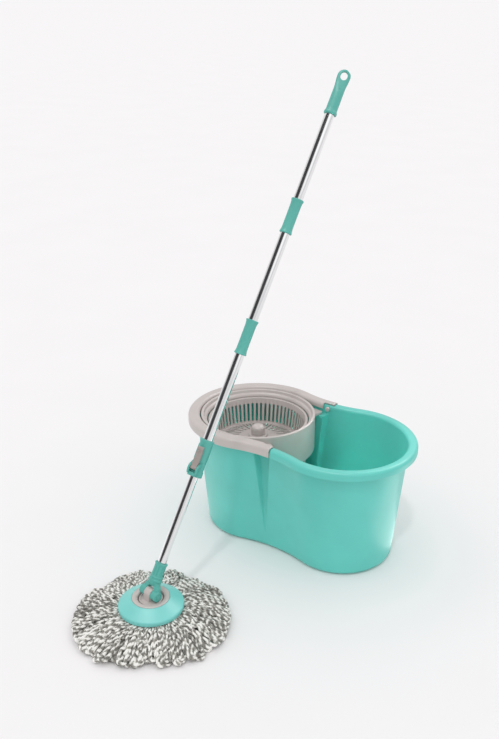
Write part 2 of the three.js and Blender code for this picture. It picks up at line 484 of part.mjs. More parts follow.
const hinge = new THREE.Group();            // head hinge point, turned to the lean direction
hinge.position.set(HEAD_X, HEAD_Y, HEAD_PIVOT_Z);
hinge.rotation.z = -LEAN_AZ;
root.add(hinge);
const pole = new THREE.Group();             // leaned pole
pole.rotation.x = -LEAN;
hinge.add(pole);
const eye = new THREE.Group();
eye.rotation.z = CAP_TURN;
pole.add(eye);
mesh('hang_cap', hangCap(), 'teal', eye);
mesh('pole_tube_top', tube(OUT_R, OUT_BORE, 753.6, 1005.5), 'chrome', pole);
mesh('pole_tube_middle', tube(OUT_R, OUT_BORE, 512.7, 753.2), 'chrome', pole);
mesh('pole_tube_lower', tube(OUT_R, OUT_BORE, 231.8 + BARREL_UP, 512.3), 'chrome', pole);
mesh('pole_connector_upper', connector(720, 787), 'teal', pole);
mesh('pole_connector_lower', connector(478, 546), 'teal', pole);
mesh('joint_plug_upper', plug(731, 776), 'white', pole);
mesh('joint_plug_lower', plug(500.5 + BARREL_UP, 535), 'white', pole);
mesh('inner_tube', tube(IN_R, IN_BORE, 30.4, 313.8 + BARREL_UP), 'chrome', pole);
const barrel = new THREE.Group();
barrel.position.z = BARREL_UP;
pole.add(barrel);
mesh('twist_rod', twistRod(), 'steel', barrel);
mesh('rod_anchor', rodAnchor(), 'white', barrel);
mesh('rod_end_stop', rodEndStop(), 'steel', barrel);
const lock = new THREE.Group();
lock.rotation.z = LOCK_TURN;
barrel.add(lock);
mesh('lock_collar', lockCollar(), 'teal', lock);
mesh('lock_lever', lockLever(), 'grey', lock);
mesh('lever_pin', leverPin(), 'steel', lock);
mesh('guide_bush', guideBush(), 'white', barrel);
mesh('drive_nut', driveNut(), 'white', barrel);
mesh('head_yoke', yoke(), 'teal', pole);
mesh('yoke_pin', yokePin(), 'steel', pole);

const head = new THREE.Group();
head.position.set(0, 0, -HEAD_PIVOT_Z);
hinge.add(head);
mesh('head_lug', headLug(), 'grey', head);
mesh('mop_disc', mopDisc(), 'teal', head);
mesh('disc_ring', discRing(), 'grey', head);
mesh('retaining_plate', retainingPlate(), 'grey', head);
[90, 210, 330].forEach((deg, i) => mesh(`retainer_screw_${i + 1}`, retainerScrew(deg), 'steel', head));
mesh('refill_ring', refillRing(), 'white', head);
mesh('mop_strands', strands(), 'yarn', head);

export default root;
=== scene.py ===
import math
import bpy
import bmesh
import numpy as np
from mathutils import Matrix, Vector


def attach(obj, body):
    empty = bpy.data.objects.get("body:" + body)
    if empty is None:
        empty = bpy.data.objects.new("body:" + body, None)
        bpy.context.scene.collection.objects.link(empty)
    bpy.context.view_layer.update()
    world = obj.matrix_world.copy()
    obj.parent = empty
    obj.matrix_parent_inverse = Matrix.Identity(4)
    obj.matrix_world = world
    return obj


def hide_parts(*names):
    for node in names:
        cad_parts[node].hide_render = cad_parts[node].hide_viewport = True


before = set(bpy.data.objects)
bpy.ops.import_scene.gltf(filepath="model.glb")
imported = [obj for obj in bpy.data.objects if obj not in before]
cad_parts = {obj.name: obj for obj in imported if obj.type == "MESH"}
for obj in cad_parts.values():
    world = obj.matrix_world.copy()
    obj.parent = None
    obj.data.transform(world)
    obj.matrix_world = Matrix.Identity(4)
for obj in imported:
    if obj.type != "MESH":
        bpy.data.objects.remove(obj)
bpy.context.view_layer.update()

rng = np.random.default_rng(7)
D2R = math.pi / 180

# ------------------------------------------------------------------ camera, light, floor
scene = bpy.context.scene
scene.view_settings.view_transform = "Standard"
scene.view_settings.look = "None"

cam = bpy.data.objects.new("camera", bpy.data.cameras.new("camera"))
scene.collection.objects.link(cam)
cam.location = (0.8887, -1.4281, 1.1)
cam.rotation_euler = (67.01 * D2R, 0, 35.53 * D2R)
cam.data.sensor_width = 36
cam.data.lens = 42.985
scene.camera = cam

world = bpy.data.worlds.new("studio")
scene.world = world
world.use_nodes = True
wn, wl = world.node_tree.nodes, world.node_tree.links
wn.clear()
wout = wn.new("ShaderNodeOutputWorld")
bg = wn.new("ShaderNodeBackground")
tc = wn.new("ShaderNodeTexCoord")
sep = wn.new("ShaderNodeSeparateXYZ")
ramp = wn.new("ShaderNodeValToRGB")
wl.new(tc.outputs["Generated"], sep.inputs[0])
wl.new(sep.outputs["Z"], ramp.inputs[0])
ramp.color_ramp.elements[0].position = 0.0
ramp.color_ramp.elements[0].color = (0.74, 0.735, 0.74, 1)
ramp.color_ramp.elements[1].position = 0.75
ramp.color_ramp.elements[1].color = (0.94, 0.94, 0.95, 1)
wl.new(ramp.outputs[0], bg.inputs["Color"])
bg.inputs["Strength"].default_value = 1.02
wl.new(bg.outputs[0], wout.inputs[0])


def area(name, loc, target, size, power, color=(1, 1, 1)):
    d = bpy.data.lights.new(name, "AREA")
    d.shape = "RECTANGLE"
    d.size, d.size_y = size
    d.energy = power
    d.color = color
    o = bpy.data.objects.new(name, d)
    scene.collection.objects.link(o)
    o.location = loc
    o.rotation_euler = (Vector(target) - Vector(loc)).to_track_quat("-Z", "Y").to_euler()
    return o


def sun(name, direction, strength, angle):
    d = bpy.data.lights.new(name, "SUN")
    d.energy = strength
    d.angle = math.radians(angle)
    o = bpy.data.objects.new(name, d)
    scene.collection.objects.link(o)
    o.rotation_euler = Vector(direction).to_track_quat("-Z", "Y").to_euler()
    return o


def strip(*args):
    """A strip light that only adds highlights."""
    o = area(*args)
    o.visible_diffuse = False
    o.visible_camera = False
    return o


for name, x, y, turn, power in (("low_right", 0.43, 0.20, 47, 0.60), ("low_left", -0.38, -0.25, -151, 0.16)):
    low = strip(name, (x, y, 0.004), (x, y, 1.0), (0.5, 0.24), power)
    low.rotation_euler = (math.pi, 0, turn * math.pi / 180)
strip("strip_back", (0.5, 1.5, 2.0), (0.05, 0.0, 0.2), (1.8, 0.7), 30)
strip("strip_top", (-0.36, -1.05, 3.7), (-0.05, -0.45, 0.0), (2.2, 1.6), 60)
inner = area("bowl_fill", (0.125, 0.0, 0.56), (0.125, 0.0, 0.0), (0.12, 0.12), 0.23)
inner.data.spread = 34 * D2R
inner.visible_camera = False
inner.visible_glossy = False
sun("sky_right", (-0.80, 0.35, -0.62), 0.10, 40)
sun("sky_left", (0.85, 0.30, -0.60), 0.08, 40)
sun("key", (-0.22, 0.52, -0.95), 0.34, 3)

# ------------------------------------------------------------------ materials
def srgb(r, g, b):
    f = lambda c: c / 12.92 if c <= 0.04045 else ((c + 0.055) / 1.055) ** 2.4
    return (f(r / 255), f(g / 255), f(b / 255), 1)


def material(name):
    m = bpy.data.materials.new(name)
    m.use_nodes = True
    n = m.node_tree.nodes
    n.clear()
    out = n.new("ShaderNodeOutputMaterial")
    p = n.new("ShaderNodeBsdfPrincipled")
    m.node_tree.links.new(p.outputs[0], out.inputs[0])
    return m, n, m.node_tree.links, p


def noise(n, l, coord, scale, detail=4, rough=0.55, stretch=None):
    t = n.new("ShaderNodeTexNoise")
    t.inputs["Scale"].default_value = scale
    t.inputs["Detail"].default_value = detail
    t.inputs["Roughness"].default_value = rough
    if stretch:
        mp = n.new("ShaderNodeMapping")
        mp.inputs["Scale"].default_value = stretch
        l.new(coord, mp.inputs[0])
        l.new(mp.outputs[0], t.inputs["Vector"])
    else:
        l.new(coord, t.inputs["Vector"])
    return t


def rampnode(n, l, src, stops):
    r = n.new("ShaderNodeValToRGB")
    e = r.color_ramp.elements
    while len(e) < len(stops):
        e.new(0.5)
    for i, (pos, col) in enumerate(stops):
        e[i].position = pos
        e[i].color = col
    l.new(src, r.inputs[0])
    return r


def maprange(n, l, src, lo, hi):
    m = n.new("ShaderNodeMapRange")
    m.inputs["To Min"].default_value = lo
    m.inputs["To Max"].default_value = hi
    l.new(src, m.inputs["Value"])
    return m


def plastic(name, base, rough=(0.3, 0.4), grain=1400, grain_h=0.00004, var=0.05, sss=0.0, coat=0.0, scuff=True):
    m, n, l, p = material(name)
    tc = n.new("ShaderNodeTexCoord")
    co = tc.outputs["Object"]
    cloud = noise(n, l, co, 9, 3)
    lo = tuple(c * (1 - var) for c in base[:3]) + (1,)
    hi = tuple(min(1, c * (1 + var)) for c in base[:3]) + (1,)
    col = rampnode(n, l, cloud.outputs["Fac"], [(0.3, lo), (0.7, hi)])
    l.new(col.outputs[0], p.inputs["Base Color"])
    smear = noise(n, l, co, 38, 5, 0.6, (1, 1, 0.35))
    rr = maprange(n, l, smear.outputs["Fac"], rough[0], rough[1])
    l.new(rr.outputs[0], p.inputs["Roughness"])
    g = noise(n, l, co, grain, 2, 0.5)
    b1 = n.new("ShaderNodeBump")
    b1.inputs["Strength"].default_value = 0.35
    b1.inputs["Distance"].default_value = grain_h
    l.new(g.outputs["Fac"], b1.inputs["Height"])
    last = b1
    if scuff:
        s = noise(n, l, co, 160, 6, 0.7, (6, 6, 0.6))
        sr = rampnode(n, l, s.outputs["Fac"], [(0.60, (0, 0, 0, 1)), (0.66, (1, 1, 1, 1))])
        b2 = n.new("ShaderNodeBump")
        b2.inputs["Strength"].default_value = 0.12
        b2.inputs["Distance"].default_value = 0.00003
        l.new(sr.outputs[0], b2.inputs["Height"])
        l.new(b1.outputs[0], b2.inputs["Normal"])
        last = b2
    l.new(last.outputs[0], p.inputs["Normal"])
    if sss:
        p.inputs["Subsurface Weight"].default_value = sss
        p.inputs["Subsurface Radius"].default_value = (0.5, 1.0, 0.9)
        p.inputs["Subsurface Scale"].default_value = 0.003
    if coat:
        p.inputs["Coat Weight"].default_value = coat
        p.inputs["Coat Roughness"].default_value = 0.12
    p.inputs["IOR"].default_value = 1.49
    return m


def metal(name, base, rough=(0.08, 0.16), line=(900, 900, 12), axis=None):
    m, n, l, p = material(name)
    tc = n.new("ShaderNodeTexCoord")
    co = tc.outputs["Object"]
    p.inputs["Metallic"].default_value = 1.0
    cl = noise(n, l, co, 20, 3)
    col = rampnode(n, l, cl.outputs["Fac"], [(0.3, tuple(c * 0.95 for c in base[:3]) + (1,)), (0.7, base)])
    l.new(col.outputs[0], p.inputs["Base Color"])
    mp = n.new("ShaderNodeMapping")
    if axis is not None:
        q = Vector(axis).rotation_difference(Vector((0, 0, 1))).to_euler()
        mp.inputs["Rotation"].default_value = q
    l.new(co, mp.inputs[0])
    s = noise(n, l, mp.outputs[0], 1, 4, 0.6, line)
    rr = maprange(n, l, s.outputs["Fac"], rough[0], rough[1])
    l.new(rr.outputs[0], p.inputs["Roughness"])
    b = n.new("ShaderNodeBump")
    b.inputs["Strength"].default_value = 0.06
    b.inputs["Distance"].default_value = 0.00002
    l.new(s.outputs["Fac"], b.inputs["Height"])
    l.new(b.outputs[0], p.inputs["Normal"])
    return m


TH, DE = 30.15 * D2R, 8.8 * D2R
POLE_AXIS = (math.sin(TH) * math.sin(DE), math.sin(TH) * math.cos(DE), math.cos(TH))

TEAL = plastic("teal_polypropylene", srgb(98, 201, 190), (0.34, 0.42), sss=0.12, scuff=False)
TEAL_FIT = plastic("teal_fittings", srgb(86, 174, 163), (0.38, 0.5), grain=2200, sss=0.08)
# the disc's base colour is lighter than the bucket's teal: a painted highlight that stands in for the broad sheen
# across its front
TEAL_DISC_PAINTED_HIGHLIGHT = plastic("teal_disc_painted_highlight", srgb(122, 206, 200), (0.36, 0.44), sss=0.1)
GREY = plastic("warm_grey_plastic", srgb(194, 186, 182), (0.32, 0.44), grain=1800, sss=0.05)
GREY_IN = plastic("warm_grey_basket", srgb(190, 182, 178), (0.36, 0.5), grain=1800, sss=0.05)
# the lever's grey is darker than the other grey plastic: painted shade, the same grey plastic darkened
LEVER_GREY_PAINTED_SHADE = plastic("lever_grey_painted_shade", srgb(160, 150, 145), (0.3, 0.42), grain=1800, sss=0.03)
NYLON = plastic("white_nylon", srgb(232, 230, 222), (0.4, 0.5), grain=1500, sss=0.1, scuff=False)
CHROME = metal("chromed_tube", (0.84, 0.845, 0.85, 1), (0.05, 0.10), axis=POLE_AXIS)
STEEL = metal("plain_steel", (0.62, 0.62, 0.63, 1), (0.22, 0.34), line=(500, 500, 60))

# yarn: white fibre with grey fibre twisted in
YARN, n, l, p = material("microfibre_yarn")
tc = n.new("ShaderNodeTexCoord")
co = tc.outputs["Object"]
ply = n.new("ShaderNodeAttribute")
ply.attribute_name = "ply"
nz = noise(n, l, co, 210, 3, 0.6)
nb = noise(n, l, co, 60, 2, 0.5)
mx = n.new("ShaderNodeMath"); mx.operation = "MULTIPLY_ADD"
l.new(nz.outputs["Fac"], mx.inputs[0]); mx.inputs[1].default_value = 1.0
l.new(ply.outputs["Fac"], mx.inputs[2])
mx2 = n.new("ShaderNodeMath"); mx2.operation = "MULTIPLY_ADD"
l.new(nb.outputs["Fac"], mx2.inputs[0]); mx2.inputs[1].default_value = 0.55
l.new(mx.outputs[0], mx2.inputs[2])
yr = rampnode(n, l, mx2.outputs[0], [(0.46, srgb(112, 110, 103)), (0.72, srgb(156, 154, 146)), (0.86, srgb(222, 221, 214)), (1.0, srgb(244, 243, 238))])
l.new(yr.outputs[0], p.inputs["Base Color"])
p.inputs["Roughness"].default_value = 0.92
p.inputs["Sheen Weight"].default_value = 0.35
p.inputs["Sheen Roughness"].default_value = 0.5
fib = noise(n, l, co, 2600, 2, 0.6)
bp = n.new("ShaderNodeBump")
bp.inputs["Strength"].default_value = 0.6
bp.inputs["Distance"].default_value = 0.0003
l.new(fib.outputs["Fac"], bp.inputs["Height"])
l.new(bp.outputs[0], p.inputs["Normal"])

# floor
floor_mat, n, l, p = material("studio_floor")
tc = n.new("ShaderNodeTexCoord")
fz = noise(n, l, tc.outputs["Object"], 3, 2)
fr = rampnode(n, l, fz.outputs["Fac"], [(0.3, (0.890, 0.876, 0.878, 1)), (0.7, (0.902, 0.888, 0.890, 1))])
l.new(fr.outputs[0], p.inputs["Base Color"])
p.inputs["Roughness"].default_value = 0.75
p.inputs["Specular IOR Level"].default_value = 0.0
fm = bpy.data.meshes.new("floor")
fm.from_pydata([(-400, -400, 0), (400, -400, 0), (400, 400, 0), (-400, 400, 0)], [], [(0, 1, 2, 3)])
fm.materials.append(floor_mat)
floor = bpy.data.objects.new("floor", fm)
scene.collection.objects.link(floor)
floor.location.z = -0.0004


def card(name, centre, along, across, length, width, dark, light):
    """A flat studio card, dark down its middle, that only mirror-like surfaces see."""
    m, n, l, p = material(name)
    tc = n.new("ShaderNodeTexCoord")
    dot = n.new("ShaderNodeVectorMath")
    dot.operation = "DOT_PRODUCT"
    dot.inputs[1].default_value = Vector(across) / width
    l.new(tc.outputs["Object"], dot.inputs[0])
    shift = n.new("ShaderNodeMath")
    shift.operation = "ADD"
    shift.inputs[1].default_value = 0.5 - Vector(centre).dot(Vector(across)) / width
    l.new(dot.outputs["Value"], shift.inputs[0])
    r = rampnode(n, l, shift.outputs[0], [(0.0, (light, light, light, 1)), (0.45, (dark, dark, dark * 1.05, 1)), (0.78, (dark, dark, dark * 1.05, 1)), (1.0, (light * 0.5, light * 0.5, light * 0.5, 1))])
    l.new(r.outputs[0], p.inputs["Base Color"])
    p.inputs["Roughness"].default_value = 0.9
    p.inputs["Specular IOR Level"].default_value = 0.0
    me = bpy.data.meshes.new(name)
    c, u, w = Vector(centre), Vector(along) * length / 2, Vector(across) * width / 2
    me.from_pydata([c - u - w, c - u + w, c + u + w, c + u - w], [], [(0, 1, 2, 3)])
    me.materials.append(m)
    o = bpy.data.objects.new(name, me)
    scene.collection.objects.link(o)
    for k in ("camera", "diffuse", "transmission", "volume_scatter", "shadow"):
        setattr(o, "visible_" + k, False)
    return o


# it lies parallel to the pole, so its reflection is one dark line from end to end
card("dark_card", (-1.36, -1.98, 1.83), POLE_AXIS, (0.962, -0.268, 0.069), 3.4, 5.2, 0.06, 0.42)

# ------------------------------------------------------------------ mesh helpers (millimetres in, metres out)
class M:
    """A closed mesh in millimetres."""

    def __init__(self, v, f):
        self.v = np.asarray(v, float).reshape(-1, 3)
        self.f = [tuple(x) for x in f]

    def moved(self, mat):
        m = np.array(mat)
        return M(self.v @ m[:3, :3].T + m[:3, 3], self.f)


def join(*ms):
    v, f, k = [], [], 0
    for m in ms:
        v.append(m.v)
        f += [tuple(i + k for i in x) for x in m.f]
        k += len(m.v)
    return M(np.concatenate(v), f)


def lathe(profile, seg=96, closed=True):
    """Closed [r, z] outline turned about Z. Points with r = 0 become one vertex."""
    pts = list(profile)
    n = len(pts)
    v, idx = [], []
    for r, z in pts:
        if r == 0:
            idx.append([len(v)] * seg)
            v.append((0, 0, z))
        else:
            idx.append(list(range(len(v), len(v) + seg)))
            v += [(r * math.cos(2 * math.pi * i / seg), r * math.sin(2 * math.pi * i / seg), z) for i in range(seg)]
    f = []
    for a in range(n if closed else n - 1):
        b = (a + 1) % n
        if pts[a][0] == 0 and pts[b][0] == 0:
            continue
        for i in range(seg):
            j = (i + 1) % seg
            q = []
            for k in (idx[a][i], idx[a][j], idx[b][j], idx[b][i]):
                if k not in q:
                    q.append(k)
            if len(q) > 2:
                f.append(tuple(q))
    return M(v, f)


def loft(rings, closed_ring=True, caps=True):
    n = len(rings[0])
    v = [p for r in rings for p in r]
    f = []
    for i in range(len(rings) - 1):
        for j in range(n if closed_ring else n - 1):
            a, b = i * n + j, i * n + (j + 1) % n
            f.append((a, b, b + n, a + n))
    if caps:
        f.append(tuple(range(n - 1, -1, -1)))
        f.append(tuple(range((len(rings) - 1) * n, len(rings) * n)))
    return M(v, f)


def prism(pts, axis, lo, hi):
    """2-D outline pushed along an axis. axis x: [y, z], y: [x, z], z: [x, y]."""
    def at(p, t):
        return {"x": (t, p[0], p[1]), "y": (p[0], t, p[1]), "z": (p[0], p[1], t)}[axis]
    return loft([[at(p, lo) for p in pts], [at(p, hi) for p in pts]])


def cyl(axis, r, lo, hi, c=(0, 0), seg=48):
    return prism([(c[0] + r * math.cos(2 * math.pi * i / seg), c[1] + r * math.sin(2 * math.pi * i / seg)) for i in range(seg)], axis, lo, hi)


def box(x0, x1, y0, y1, z0, z1):
    return prism([(x0, y0), (x1, y0), (x1, y1), (x0, y1)], "z", z0, z1)


def arc(cx, cy, r, a0, a1, n):
    return [(cx + r * math.cos((a0 + (a1 - a0) * i / n) * D2R), cy + r * math.sin((a0 + (a1 - a0) * i / n) * D2R)) for i in range(n + 1)]


def rounded(pts, r, n=4):
    """Round the corners of a closed outline. r is one radius or one for each point."""
    out, k = [], len(pts)
    for i, p in enumerate(pts):
        rr = r[i] if isinstance(r, (list, tuple)) else r
        a, b, c = Vector(pts[i - 1]), Vector(p), Vector(pts[(i + 1) % k])
        u, w = (a - b), (c - b)
        lu, lw = u.length, w.length
        if rr <= 0 or lu < 1e-6 or lw < 1e-6:
            out.append(tuple(b))
            continue
        u, w = u / lu, w / lw
        ang = math.acos(max(-1, min(1, u.dot(w))))
        if ang > math.pi - 0.06:
            out.append(tuple(b))
            continue
        t = min(rr / math.tan(ang / 2), lu * 0.48, lw * 0.48)
        p0, p1 = b + u * t, b + w * t
        for s in range(n + 1):
            x = s / n
            out.append(tuple(p0 * (1 - x) ** 2 + b * 2 * x * (1 - x) + p1 * x * x))
    return out


def to_object(m, name):
    me = bpy.data.meshes.new(name)
    bm = bmesh.new()
    vs = [bm.verts.new(p) for p in (m.v * 0.001)]
    for f in m.f:
        try:
            bm.faces.new([vs[i] for i in f])
        except ValueError:
            pass
    bmesh.ops.remove_doubles(bm, verts=bm.verts, dist=2e-7)
    bmesh.ops.recalc_face_normals(bm, faces=bm.faces)
    bm.to_mesh(me)
    bm.free()
    o = bpy.data.objects.new(name, me)
    scene.collection.objects.link(o)
    return o


def apply(o):
    dg = bpy.context.evaluated_depsgraph_get()
    me = bpy.data.meshes.new_from_object(o.evaluated_get(dg))
    o.modifiers.clear()
    old = o.data
    o.data = me
    bpy.data.meshes.remove(old)
    return o


def cut(o, m, op="DIFFERENCE", solver="MANIFOLD"):
    c = to_object(m, "cutter") if isinstance(m, M) else m
    before = len(o.data.polygons)
    keep = o.data.copy()
    for s in (solver, "EXACT"):
        mod = o.modifiers.new("b", "BOOLEAN")
        mod.operation, mod.object, mod.solver = op, c, s
        apply(o)
        if len(o.data.polygons) > 3 and len(o.data.polygons) != before:
            break
        o.data = keep.copy()
    bpy.data.objects.remove(c)
    return o


def finish_piece(o, mat, body, nodes=(), slot=None, angle=38, bevel=0.0, seg=2, bevel_angle=40):
    if bevel:
        mod = o.modifiers.new("bv", "BEVEL")
        mod.width, mod.segments, mod.limit_method = bevel * 0.001, seg, "ANGLE"
        mod.angle_limit = bevel_angle * D2R
        mod.use_clamp_overlap = True
        apply(o)
    bm = bmesh.new()
    bm.from_mesh(o.data)
    bmesh.ops.remove_doubles(bm, verts=bm.verts, dist=1e-7)
    for f in bm.faces:
        f.smooth = True
    for e in bm.edges:
        e.smooth = len(e.link_faces) == 2 and e.calc_face_angle(0) < angle * D2R
    bm.to_mesh(o.data)
    bm.free()
    o.data.materials.clear()
    o.data.materials.append(mat)
    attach(o, body)
    if nodes:
        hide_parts(*[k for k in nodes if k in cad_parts])
    return o


POLE = Matrix.Translation((-54, -427.5, 67)) @ Matrix.Rotation(-DE, 4, "Z") @ Matrix.Rotation(-TH, 4, "X")
LOCK = POLE @ Matrix.Translation((0, 0, 8)) @ Matrix.Rotation(20 * D2R, 4, "Z")
HEAD = Matrix.Translation((-54, -427.5, 0)) @ Matrix.Rotation(-DE, 4, "Z")
WR = Matrix.Translation((-108, 0, 0))

# ------------------------------------------------------------------ bucket
LOBE_X, WAIST_Y, WAIST_SUM = 108.0, 382.0, 397.0
TAN = math.acos(-LOBE_X / math.hypot(LOBE_X, WAIST_Y))
TILT = math.asin(LOBE_X / math.hypot(LOBE_X, WAIST_Y))
CH_X, CH_TOP, CH_LOW, CH_W, CH_WL, CH_D = -18.0, 238.0, 40.0, 40.0, 5.0, 18.0
LS = 72


def sst(t):
    t = max(0.0, min(1.0, t))
    return t * t * (3 - 2 * t)


def waist_stations(R, hw, depth):
    """x and inward depth along a waist arc, right to left, with the channel's edges on fixed stations."""
    rw = WAIST_SUM - R
    xt = rw * math.sin(TILT)
    e1, e0 = CH_X + hw, CH_X - hw
    fl = min(6.0, hw * 0.45)
    xs = []
    for i in range(1, 15):
        xs.append((xt + (e1 - xt) * i / 15, 0.0))
    for i in range(8):
        t = i / 7
        xs.append((e1 - fl * t, depth * sst(t)))
    for i in range(1, 7):
        xs.append((e1 - fl + (e0 - e1 + 2 * fl) * i / 7, depth))
    for i in range(8):
        t = i / 7
        xs.append((e0 + fl * (1 - t), depth * sst(1 - t)))
    for i in range(1, 12):
        xs.append((e0 + (-xt - e0) * i / 12, 0.0))
    return xs, rw


def plan_ring(R, z, hw=CH_W / 2, depth=0.0):
    st, rw = waist_stations(R, hw, depth)
    pts = []
    for i in range(LS + 1):
        a = -TAN + 2 * TAN * i / LS
        pts.append((LOBE_X + R * math.cos(a), R * math.sin(a), z))
    for x, d in st:
        pts.append((x, WAIST_Y - math.sqrt(rw * rw - x * x) - d, z))
    for i in range(LS + 1):
        a = TAN - 2 * TAN * i / LS
        pts.append((-(LOBE_X + R * math.cos(a)), R * math.sin(a), z))
    for x, d in reversed(st):
        pts.append((x, -(WAIST_Y - math.sqrt(rw * rw - x * x)) + d, z))
    return pts


def wall_r(z):
    return 111.2 + 22.3 * (z - 14) / 242


def channel(z):
    t = max(0.0, min(1.0, (z - CH_LOW) / (CH_TOP - CH_LOW)))
    return (CH_WL + (CH_W - CH_WL) * t) / 2, CH_D * t


rings = []
for r, z in [(96, 0), (99, 0.15)] + [(98.2 + 13 * math.sin(a * D2R), 13 - 13 * math.cos(a * D2R)) for a in (12, 26, 40, 54, 68, 80)]:
    rings.append(plan_ring(r, z, CH_WL / 2))
zs = [14, 27, 40, 60, 80, 105, 130, 155, 180, 205, 222, 233, CH_TOP]
for z in zs:
    hw, d = channel(z)
    rings.append(plan_ring(wall_r(z), z, hw, d))
for z in (CH_TOP + 0.7, 250, 254.6):
    rings.append(plan_ring(wall_r(z), z, CH_W / 2, 0))
rim = [(134.6, 256.2), (136, 256.6), (146.6, 256.6), (147.8, 256.1), (148.3, 254.6), (148.4, 246.4), (148.8, 245.3), (149.6, 245), (150.5, 245.1), (151, 245.7), (151.15, 247), (151, 254)]
rim += arc(143.6, 254.4, 7.5, 6, 90, 9) + arc(137.8, 254.6, 7.3, 94, 176, 9) + [(130.4, 252)]
for r, z in rim:
    rings.append(plan_ring(r, z, CH_W / 2, 0))
rings.append(plan_ring(wall_r(CH_TOP + 3.7) - 3, CH_TOP + 3.7, CH_W / 2 + 3, 0))
for z in [CH_TOP + 3, 236, 222, 205, 180, 155, 130, 105, 80, 60, 40, 27, 15]:
    hw, d = channel(min(z, CH_TOP))
    rings.append(plan_ring(wall_r(z) - 3, z, hw + 3, d))
for a in (78, 62, 46, 30, 14):
    rings.append(plan_ring(97.4 + 10.7 * math.sin(a * D2R), 14.2 - 11.2 * math.cos(a * D2R), CH_WL / 2 + 3))
rings.append(plan_ring(95, 3, CH_WL / 2 + 3))
bucket = to_object(loft(rings), "bucket_body")


def left_path(R, x_end, n_w=14, n_l=72):
    """Plan points at radius R from x_end on the near waist, round the wringer lobe, to x_end on the far waist."""
    rw = WAIST_SUM - R
    t0 = math.asin(max(-1, min(1, x_end / rw)))
    out = [(rw * math.sin(t0 + (-TILT - t0) * i / n_w), -(WAIST_Y - rw * math.cos(t0 + (-TILT - t0) * i / n_w))) for i in range(n_w)]
    for i in range(n_l + 1):
        a = TAN - 2 * TAN * i / n_l
        out.append((-(LOBE_X + R * math.cos(a)), -R * math.sin(a)))
    out += [(x, -y) for x, y in reversed(out[:n_w])]
    return out


def sweep_left(section, x_end):
    paths = [left_path(r, x_end) for r, _ in section]
    return loft([[(paths[k][i][0], paths[k][i][1], section[k][1]) for k in range(len(section))] for i in range(len(paths[0]))])


PX, PZ, PIN_R = 2.0, 254.0, 3.2
cut(bucket, sweep_left([(147, 236), (175, 236), (175, 279), (147, 279)], PX))
for s in (-1, 1):
    y0, y1 = sorted((s * 119.4, s * 170))
    cut(bucket, cyl("y", 14.9, y0, y1, (PX, PZ), 64))
    y0, y1 = sorted((s * 117.2, s * 130.6))
    cut(bucket, cyl("y", 6.5, y0, y1, (PX, PZ), 40), "UNION")
cut(bucket, cyl("y", PIN_R + 0.3, -200, 200, (PX, PZ), 32))
finish_piece(bucket, TEAL, "bucket", ["bucket_shell"], "teal_plastic", angle=32)

# ------------------------------------------------------------------ carry handle
sec = [(149.8, 245.6), (150.4, 245.2), (151.6, 245.2), (152.3, 245.9), (152.4, 248), (152.4, 257.6)]
sec += arc(144.9, 257.4, 7.5, 4, 84, 8)[0:] + [(144, 265), (134.5, 265)] + arc(134.4, 257.6, 7.4, 96, 176, 8)
sec += [(127, 256), (127, 252.2), (127.5, 251.7), (128.6, 251.8), (129, 252.4), (129, 259.5), (130.2, 261.7), (132.5, 262.5), (146, 262.5), (148.6, 261.6), (149.6, 259)]
bail = to_object(sweep_left(sec, 13.0), "carry_bail")
corner = [(10, 268), *arc(10, 262, 3, 90, 0, 8), (16, 262), (16, 268)]
for s in (-1, 1):
    y0, y1 = sorted((s * 100, s * 170))
    cut(bail, prism(corner, "y", y0, y1))
    # the inner skirt stops short of the hinge
    ys, ye = sorted((s * 100, s * 119.8))
    cut(bail, prism([(-10, 240), (40, 240), (40, 275), (-10, 275)], "y", ys, ye))
    y0, y1 = sorted((s * 131, s * 135.4))
    cut(bail, cyl("y", 6.5, y0, y1, (PX, PZ), 40), "UNION")
    y0, y1 = sorted((s * 130, s * 135.7))
    cut(bail, cyl("y", PIN_R + 0.3, y0, y1, (PX, PZ), 32))
finish_piece(bail, GREY, "handle", ["carry_handle"], "grey_plastic", angle=34, bevel=0.5, bevel_angle=50)

for s, nm in ((-1, "near"), (1, "far")):
    prof = [(0, 108.6), (3.6, 108.6), (4.8, 109.1), (5.2, 110.2), (5.2, 113.6), (4.9, 114.1), (PIN_R, 114.1), (PIN_R, 135.1), (2.9, 135.3), (0, 135.3)]
    m = lathe(prof, 40).moved(Matrix.Translation((PX, 0, PZ)) @ Matrix.Rotation(-s * math.pi / 2, 4, "X"))
    finish_piece(to_object(m, f"handle_stud_{nm}"), GREY, "handle", [f"handle_pin_{nm}"], "grey_plastic")

# ------------------------------------------------------------------ wringer frame
SEG = 160
collar = rounded([(125, 244), (125, 260.8), (118.9, 260.8), (117.4, 254.3), (113.2, 251.7), (111.5, 248.6), (111.5, 243.4), (113.9, 243.4), (113.9, 247.4), (115.2, 249.4), (119.8, 252.4), (121, 258), (122.8, 258), (122.8, 244)], [0.5, 2.4, 2.2, 1.4, 1.6, 1.2, 0.5, 0.5, 1, 0.8, 1.2, 0.6, 0.4, 0.4], 5)
wf = to_object(lathe(collar, SEG), "wringer_body")
HALF = 44
shroud = loft([[(r * math.cos(a * D2R), r * math.sin(a * D2R), z) for r, z in rounded([(125, 181), (125, 250), (122.8, 250), (122.6, 181)], [0.9, 0, 0, 0.9])] for a in np.linspace(-HALF, HALF, 61)])
cut(wf, shroud, "UNION")
cut(wf, lathe([(8, 168), (14, 168), (14, 182), (8, 182)], 64), "UNION")
for deg in (-40, 0, 40, 120, 180, 240):
    if abs(deg) <= 40:
        arm = [(10, 169), (114, 169), (123.4, 175), (123.4, 187), (120.5, 183), (104, 177), (10, 181)]
    else:
        arm = [(10, 169), (108, 169), (117.6, 180), (122, 246), (114.2, 246), (114.2, 243.6), (115, 243.6), (110.6, 182), (104, 177), (10, 181)]
    cut(wf, prism(arm, "y", -2, 2).moved(Matrix.Rotation(deg * D2R, 4, "Z")), "UNION")
